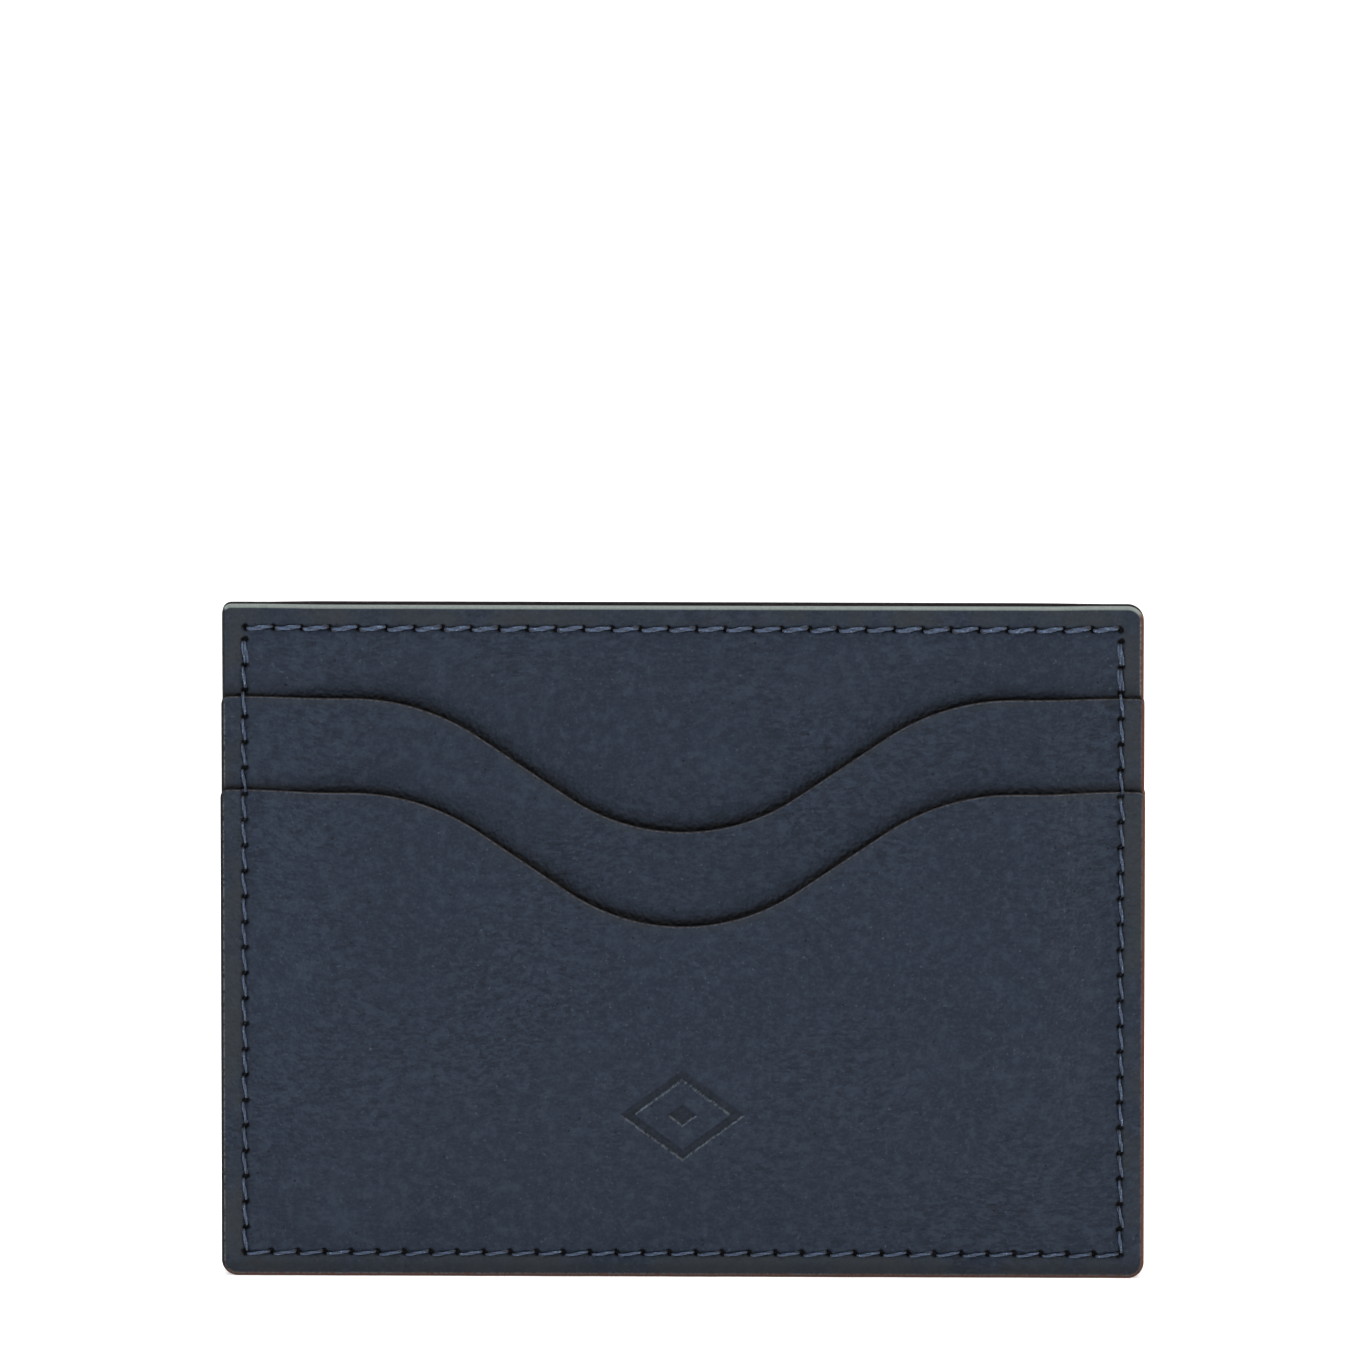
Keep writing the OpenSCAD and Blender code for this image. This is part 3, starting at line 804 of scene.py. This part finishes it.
def makeLeather(name, look):
    # grain: small pebbles, fine wrinkles, strokes in loose patches, and a few hair pits; colour: mottled dye,
    # with painted shade in creases, pits and slits, painted highlights on ridges, and brown at the edge, or
    # pale where a highlight is painted on it
    material, tree, shader = newMaterial(name)
    place = tree.nodes.new("ShaderNodeTexCoord").outputs["Object"]
    # the finish attribute: cut edge, painted shade, wear with painted highlights, and raw edge or, below 0, a
    # painted highlight
    edgeHere, paintedShade, wornAndHighlit, raw = readFinish(tree)
    noise = {}
    for kind, values in grain["noises"].items():
        noise[kind] = texture(tree, "ShaderNodeTexNoise", place, "Fac", **values)
    cloud, fine, blotch = noise["cloud"], noise["fine"], noise["blotch"]
    pebbles = texture(tree, "ShaderNodeTexVoronoi", place, "Distance", {"feature": "SMOOTH_F1"},
                      Scale=grain["pebbleScale"], Smoothness=0.6)
    pits = texture(tree, "ShaderNodeTexVoronoi", place, "Distance", {"feature": "F1"}, Scale=grain["pitScale"])
    wander = texture(tree, "ShaderNodeTexNoise", place, "Color", **grain["wander"])
    drawn = addNode(tree, "ShaderNodeVectorMath", {"operation": "MULTIPLY_ADD"})
    drawn.inputs[1].default_value = (grain["wanderBy"],) * 3
    tree.links.new(wander, drawn.inputs[0])
    tree.links.new(place, drawn.inputs[2])
    leaning = texture(tree, "ShaderNodeMapping", drawn.outputs["Vector"], "Vector",
                      Rotation=(0.0, math.radians(grain["strokeTurn"]), 0.0),
                      Scale=(1.0, 1.0, grain["strokeStretch"]))
    strokes = texture(tree, "ShaderNodeTexNoise", leaning, "Fac", **grain["strokes"])
    loose = ramp(tree, noise["broad"], 0.4, 0.62)
    inPit = ramp(tree, pits, 0.075, 0.03)

    height = combine(tree, pebbles, look["pebble"])
    for source, weight in ((combine(tree, strokes, loose), look["stroke"]), (blotch, look["blotch"]),
                           (fine, look["fine"]), (noise["wrinkles"], look["wrinkle"]),
                           (inPit, -grain["pitDepth"])):
        height = combine(tree, height, combine(tree, source, weight), "ADD")
    addBump(tree, shader, height, 1.0, grain["bump"])

    body = mixColours(tree, ramp(tree, cloud, 0.32, 0.68), look["deep"], look["dye"])
    layers = (
        (ramp(tree, blotch, 0.5, 0.36), "deep"),
        (ramp(tree, blotch, 0.5, 0.66), "light"),
        # painted highlight on the raised strokes and fine grain, and glints on its peaks
        (combine(tree, ramp(tree, strokes, 0.5, 0.66), loose), "light"),
        (ramp(tree, fine, 0.5, 0.75), "light"),
        (ramp(tree, fine, 0.67, 0.74), "glint"),
        # painted shade in the strokes' hollows and in the pits
        (combine(tree, ramp(tree, strokes, 0.47, 0.3), loose), "creaseShade"),
        (inPit, "shadow"),
        # painted highlight where raw is below 0, then rub from wear and from the lit flank's painted highlight
        (combine(tree, combine(tree, raw, -1.0), ramp(tree, fine, 0.35, 0.62)), "paintedHighlight"),
        (combine(tree, wornAndHighlit, ramp(tree, cloud, 0.35, 0.6)), "rub"),
    )
    for factor, colour in layers:
        body = mixColours(tree, factor, body, look[colour])
    cut = mixColours(tree, raw, look["edgeDyeAndHighlight"], look["rawEdge"])
    # wear specks and painted highlights on the cut edge
    cut = mixColours(tree, combine(tree, ramp(tree, fine, 0.36, 0.6), wornAndHighlit), cut, look["speckAndPaintedHighlight"])
    # painted shade: mixed toward the shadow colour by the finish attribute's green
    colour = mixColours(tree, paintedShade, mixColours(tree, edgeHere, body, cut), look["shadow"])
    tree.links.new(colour, shader.inputs["Base Color"])
    finish = addNode(tree, "ShaderNodeMapRange", To_Min=look["roughness"], To_Max=grain["edgeRoughness"])
    tree.links.new(edgeHere, finish.inputs["Value"])
    tree.links.new(finish.outputs["Result"], shader.inputs["Roughness"])
    shader.inputs["Specular IOR Level"].default_value = look["gloss"]
    return material


def makeThreadMaterial(name, look):
    # twisted fibres: two blues mixed by fine noise, waxed in patches, with painted highlights on bright fibres
    # and painted shade in the grooves
    material, tree, shader = newMaterial(name)
    place = tree.nodes.new("ShaderNodeTexCoord").outputs["Object"]
    fibres = texture(tree, "ShaderNodeTexNoise", place, "Fac", Scale=look["fibreScale"], Detail=3.0)
    patches = texture(tree, "ShaderNodeTexNoise", place, "Fac", Scale=look["patchScale"], Detail=2.0)
    colour = mixColours(tree, ramp(tree, fibres, 0.3, 0.7), look["deep"], look["light"])
    colour = mixColours(tree, ramp(tree, patches, 0.4, 0.7), colour, look["waxed"])
    colour = mixColours(tree, ramp(tree, fibres, 0.6, 0.7), colour, look["paintedFibreHighlight"])
    colour = mixColours(tree, readFinish(tree)[1], colour, look["shadow"])
    tree.links.new(colour, shader.inputs["Base Color"])
    addBump(tree, shader, fibres, 0.6, 0.00003)
    shader.inputs["Roughness"].default_value = 0.55
    shader.inputs["Specular IOR Level"].default_value = 0.35
    shader.inputs["Sheen Weight"].default_value = 0.15
    return material


navyLook = {
    "dye": (0.0108, 0.0184, 0.0338),
    "deep": (0.0080, 0.0142, 0.0272),
    "light": (0.0185, 0.0285, 0.0470),
    "creaseShade": (0.0045, 0.0078, 0.0160),
    "glint": (0.045, 0.060, 0.078),
    "paintedHighlight": (0.15, 0.175, 0.20),
    "rub": (0.022, 0.026, 0.030),
    "edgeDyeAndHighlight": (0.014, 0.012, 0.013),
    "rawEdge": (0.095, 0.036, 0.021),
    "speckAndPaintedHighlight": (0.112, 0.117, 0.130),
    "shadow": (0.0022, 0.0025, 0.0035),
    "pebble": 1.0,          # the weights of the grain's parts
    "stroke": 0.45,
    "blotch": 0.8,
    "fine": 0.4,
    "wrinkle": 1.1,
    "gloss": 0.2,
    "roughness": 0.58,
}
# the front panel's pale top edge is a painted highlight
paintedHemHighlightLook = dict(navyLook, edgeDyeAndHighlight=(0.17, 0.20, 0.19), speckAndPaintedHighlight=(0.26, 0.28, 0.26))
facingLook = dict(navyLook, dye=(0.026, 0.032, 0.045), deep=(0.019, 0.024, 0.036), light=(0.036, 0.042, 0.056),
                  creaseShade=(0.014, 0.018, 0.026), wrinkle=0.5, roughness=0.7)
threadLook = {
    "deep": (0.030, 0.050, 0.095),
    "light": (0.082, 0.132, 0.232),
    "waxed": (0.048, 0.075, 0.132),
    "paintedFibreHighlight": (0.24, 0.33, 0.46),
    "shadow": (0.006, 0.009, 0.018),
    "fibreScale": 5200.0,
    "patchScale": 260.0,
}
navyLeather = makeLeather("navyLeather", navyLook)
paintedHemHighlightLeather = makeLeather("paintedHemHighlightLeather", paintedHemHighlightLook)
facingLeather = makeLeather("facingLeather", facingLook)
seamThread = makeThreadMaterial("seamThread", threadLook)
print("materials made")


# the looks of the cut edges: where the cut's colour starts round the top's rounding, in degrees, how raw the
# top is, its painted shade, its wear with a painted highlight on the arris, the inked line's width, and 1 where
# the left flank is the face's own dye

frontHemEdge = {"topStart": 4, "topRaw": 0.0, "shade": 0.0, "rubAndPaintedHighlight": 0.6, "inked": 0.12, "leftPlain": 1.0}
# the back panel's top edge is darkened by painted shade
backHemEdge = {"topStart": 4, "topRaw": 0.1, "shade": 0.8, "rubAndPaintedHighlight": 0.1, "inked": 0.12, "leftPlain": 0.0}
lipEdge = {"topStart": 38, "topRaw": 0.0, "shade": 0.0, "rubAndPaintedHighlight": 0.75, "inked": 0.12, "leftPlain": 0.0}
facingEdge = {"topStart": 10, "topRaw": 0.2, "shade": 0.6, "rubAndPaintedHighlight": 0.2, "inked": 0.0, "leftPlain": 0.0}


def finishPiece(piece, node, material):
    # its material, and its place in the frame
    piece.data.materials.append(material)
    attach(piece, "root")
    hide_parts(node)


def markRelief(x, z):
    # a ring and a small solid between slanted straight sides, from the distance in from the lozenge's side
    w, h = mark["width"] / 2, mark["height"] / 2
    scale = w * h / math.hypot(w, h)
    inside = (1 - np.abs(x) / w - np.abs(z - mark["centreZ"]) / h) * scale
    ring = smooth(inside / mark["wall"]) * smooth((mark["line"] - inside) / mark["wall"])
    core = smooth((inside - scale * mark["core"]) / mark["wall"])
    return mark["depth"] * np.maximum(ring, core)


def markShade(x, z):
    # painted shade in the recess, 0.42 at its full depth
    return 0.42 * markRelief(x, z) / mark["depth"]


def markPaintedHighlight(x, z):
    # painted highlight where the recess ends downwards, on its edge
    step = 0.12
    rise = (markRelief(x, z + step) - markRelief(x, z - step)) / mark["depth"]
    return smooth(rise * 1.2 - 0.2)


def lipCrease(mouthZ):
    # a shallow bell-shaped groove that follows the mouth, just below it
    def relief(x, z):
        below = mouthDistance(x, z, mouthZ) + mouth["creaseBelow"]
        return mouth["creaseDepth"] * bell(below, mouth["creaseWidth"])
    return relief


def markedFace(x, z):
    # the front lower pocket's lip crease and the mark
    return lipCrease(lowerMouthZ)(x, z) + markRelief(x, z)


def gapShade(mouthZ):
    # painted shade on the leather just above the next mouth: dark in the gap, a little more in the dip, fading
    # upwards
    def shade(x, z):
        above = mouthDistance(x, z, mouthZ)
        reach = 0.38 + 0.12 * smooth(1 - np.abs(x) / 26)
        gap = 0.97 * smooth((reach * 1.15 - above) / (0.7 * reach))
        return np.clip(gap + 0.36 * smooth((2.2 - above) / 2.2), 0, 0.97)
    return shade


def makeBody(side, turned):
    # the body panel, whose hemmed top edge is one side of the centre slot's mouth
    top = bodyHeight - edge
    outline = {"half": bodyHalf, "foot": footLine(bodyHalf), "top": topLine(turned), "fadeFrom": bodyHeight - 8}
    facingBand = (facingZ - 0.7, facingZ + 0.7, 0.16)
    bands = [facingBand] + seamBands(hemZ, hemZ - 1.2, top - grid["lipReach"])
    rows = panelRows(edge, top, upperMouthZ - 16, bodyHeight, bands)
    piece = makePanel(side + "Panel", outline, bodyFace, bodyBack, panelColumns(bodyHalf, hemRow), rows,
                      assemblyRows + [hemRow], (hemZ - 1.25, bodyHeight), turned,
                      backHemEdge if turned else frontHemEdge, shade=gapShade(upperMouthZ))
    finishPiece(piece, side + "_panel", navyLeather if turned else paintedHemHighlightLeather)


def makeUpperPocket(side, turned):
    # the upper pocket, hidden behind the lower one below its mouth
    outline = {"half": upperHalf, "foot": footLine(upperHalf), "top": mouthLine(upperHalf, upperMouthZ),
               "fadeFrom": 8.0}
    rows = panelRows(edge, upperMouthZ - edge, lowerMouthZ - 16, upperMouthZ, [])
    piece = makePanel(side + "UpperPocket", outline, upperFace, upperBack, panelColumns(upperHalf, None), rows,
                      assemblyRows, None, turned, lipEdge, extraRelief=lipCrease(upperMouthZ),
                      shade=gapShade(lowerMouthZ))
    finishPiece(piece, side + "_upper_pocket", navyLeather)


def makeLowerPocket(side, turned):
    # the lower pocket; only the front one has the mark
    outline = {"half": lowerHalf, "foot": footLine(lowerHalf), "top": mouthLine(lowerHalf, lowerMouthZ),
               "fadeFrom": 8.0}
    columns = panelColumns(lowerHalf, bottomRow, 0.5 if turned else grid["markStep"])
    bandTop = seamZ + grid["seamBand"]
    markBand = (mark["centreZ"] - grid["markHalfHeight"], mark["centreZ"] + grid["markHalfHeight"],
                grid["markRowStep"])
    rows = panelRows(edge, lowerMouthZ - edge, 0, lowerMouthZ, seamBands(seamZ, edge, bandTop) + [markBand])
    relief = lipCrease(lowerMouthZ) if turned else markedFace
    piece = makePanel(side + "LowerPocket", outline, lowerFace, lowerBack, columns, rows, assemblyRows,
                      (0, bandTop), turned, lipEdge, extraRelief=relief, shade=None if turned else markShade,
                      paintedHighlight=None if turned else markPaintedHighlight)
    finishPiece(piece, side + "_lower_pocket", navyLeather)


def makeFacing(side, turned):
    # a narrow strip inside one side of the centre slot's mouth, with a straight lower edge
    outline = {"half": bodyHalf, "foot": lambda x: np.full_like(x, facingZ + edge), "top": topLine(turned),
               "fadeFrom": bodyHeight - 5}
    levels = evenLines([facingZ + edge, hemZ - 0.6, hemZ + 0.6, bodyHeight - edge], [0.4, 0.15, 0.3])
    piece = makePanel(side + "MouthFacing", outline, bodyBack, facingBack, panelColumns(bodyHalf, None),
                      (levels, np.ones(len(levels), bool)), [], None, turned, facingEdge)
    finishPiece(piece, side + "_mouth_facing", facingLeather)


def hemFace(x, z):
    # the body's face, sunk by the seam's pull
    return bodyFace(x, z) - stitching["pinch"]


def hemBobbinFace(x, z):
    # the facing's inner face, but never so near the middle plane that the thread would cross it
    return np.maximum(facingBack(x, z), stitching["hemThreadRadius"])


def marginFace(x, z):
    # the outermost face beside the side seams: lower pocket, then upper pocket, then body panel
    upper = np.where(z < upperMouthZ, upperFace(x, z), bodyFace(x, z))
    return np.where(z < lowerMouthZ, lowerFace(x, z), upper) - stitching["pinch"]


def addThread(name, node, rows, face, turned, radius, style, doubled=()):
    # one length of thread, made and placed
    piece = makeThread(name, rows, face, turned, radius, style, doubled)
    finishPiece(piece, node, seamThread)


sides = (("front", False), ("back", True))
for side, turned in sides:
    makeBody(side, turned)
    makeUpperPocket(side, turned)
    makeLowerPocket(side, turned)
print("panels made")

for side, turned in sides:
    makeFacing(side, turned)
print("facings made")

thick, thin = stitching["hemThreadRadius"], stitching["threadRadius"]
for side, turned in sides:
    addThread(side + "HemNeedleThread", side + "_hem_needle_thread", [hemRow], hemFace, turned, thick,
              needleStyle)
    addThread(side + "HemBobbinThread", side + "_hem_bobbin_thread", [hemRow], hemBobbinFace, turned, thick,
              hemBobbinStyle)
    addThread(side + "CardStopNeedleThread", side + "_card_stop_needle_thread", [stopRow], upperFace, turned,
              thin, stopNeedleStyle)
    addThread(side + "CardStopBobbinThread", side + "_card_stop_bobbin_thread", [stopRow], bodyBack, turned,
              thin, stopBobbinStyle)
doubledStitches = ((0,), (), (rightRow["count"] - 1, rightRow["count"] - 2))       # at the seam's two ends
addThread("assemblyNeedleThread", "assembly_needle_thread", assemblyRows, marginFace, False, thin, needleStyle,
          doubledStitches)
addThread("assemblyBobbinThread", "assembly_bobbin_thread", assemblyRows, marginFace, True, thin, needleStyle)
print("threads made")


# floor, lights and camera, in metres

studio = {
    "floorReach": 4.0,
    "floorGlow": 0.45,
    "worldStrength": 0.35,
    "target": (0.0, 0.0, 0.04),
    "lights": (             # name, place, size, power and colour
        ("topLight", (0.0, -0.15, 1.2), (1.3, 1.0), 12.0, (1.0, 1.0, 1.0)),
        ("frontLight", (-0.15, -0.75, 0.6), (0.6, 0.45), 1.35, (1.0, 1.0, 1.0)),
        ("leftLight", (-1.1, -0.2, 0.45), (0.5, 0.9), 4.5, (0.78, 0.84, 1.0)),
        ("rightLight", (1.1, -0.1, 0.45), (0.5, 0.9), 7.0, (1.0, 0.87, 0.74)),
        ("backLight", (0.2, 1.5, 0.8), (1.2, 0.9), 6.0, (1.0, 1.0, 1.0)),
    ),
}


def makeFloor():
    # a pale square that glows a little, so that it stays white
    mesh = bpy.data.meshes.new("floor")
    r = studio["floorReach"]
    mesh.from_pydata([(-r, -r, 0), (r, -r, 0), (r, r, 0), (-r, r, 0)], [], [(0, 1, 2, 3)])
    floor = bpy.data.objects.new("floor", mesh)
    bpy.context.scene.collection.objects.link(floor)
    material, tree, shader = newMaterial("paleFloor")
    shader.inputs["Base Color"].default_value = (0.94, 0.94, 0.94, 1.0)
    shader.inputs["Emission Color"].default_value = (1.0, 1.0, 1.0, 1.0)
    shader.inputs["Emission Strength"].default_value = studio["floorGlow"]
    shader.inputs["Roughness"].default_value = 0.9
    shader.inputs["Specular IOR Level"].default_value = 0.1
    mesh.materials.append(material)


def addSoftbox(name, place, size, power, colour):
    # a rectangular light that looks at the target
    data = bpy.data.lights.new(name, "AREA")
    data.shape = "RECTANGLE"
    data.size, data.size_y = size
    data.energy = power
    data.color = colour
    light = bpy.data.objects.new(name, data)
    light.location = place
    aim = np.array(studio["target"]) - np.array(place)
    light.rotation_euler = Vector(aim.tolist()).to_track_quat("-Z", "Y").to_euler()
    bpy.context.scene.collection.objects.link(light)


def placeCamera():
    # on a sphere round the aim, with the lens that takes in frameWidth there
    azimuth, elevation = math.radians(camera["azimuth"]), math.radians(camera["elevation"])
    level = math.cos(elevation)
    away = np.array([math.sin(azimuth) * level, -math.cos(azimuth) * level, math.sin(elevation)])
    data = bpy.data.cameras.new("camera")
    data.sensor_width = 36.0
    data.lens = data.sensor_width * camera["distance"] / camera["frameWidth"]
    data.clip_end = 20.0
    view = bpy.data.objects.new("camera", data)
    view.location = (np.array(camera["aim"]) * mm + away * camera["distance"] * mm).tolist()
    view.rotation_euler = (math.pi / 2 - elevation, 0.0, azimuth)
    bpy.context.scene.collection.objects.link(view)
    bpy.context.scene.camera = view


makeFloor()
for light in studio["lights"]:
    addSoftbox(*light)
world = bpy.data.worlds.new("studio")
world.use_nodes = True
background = world.node_tree.nodes["Background"]
background.inputs["Color"].default_value = (0.95, 0.97, 1.0, 1.0)
background.inputs["Strength"].default_value = studio["worldStrength"]
bpy.context.scene.world = world
bpy.context.scene.view_settings.view_transform = "Standard"
placeCamera()
print("studio made")
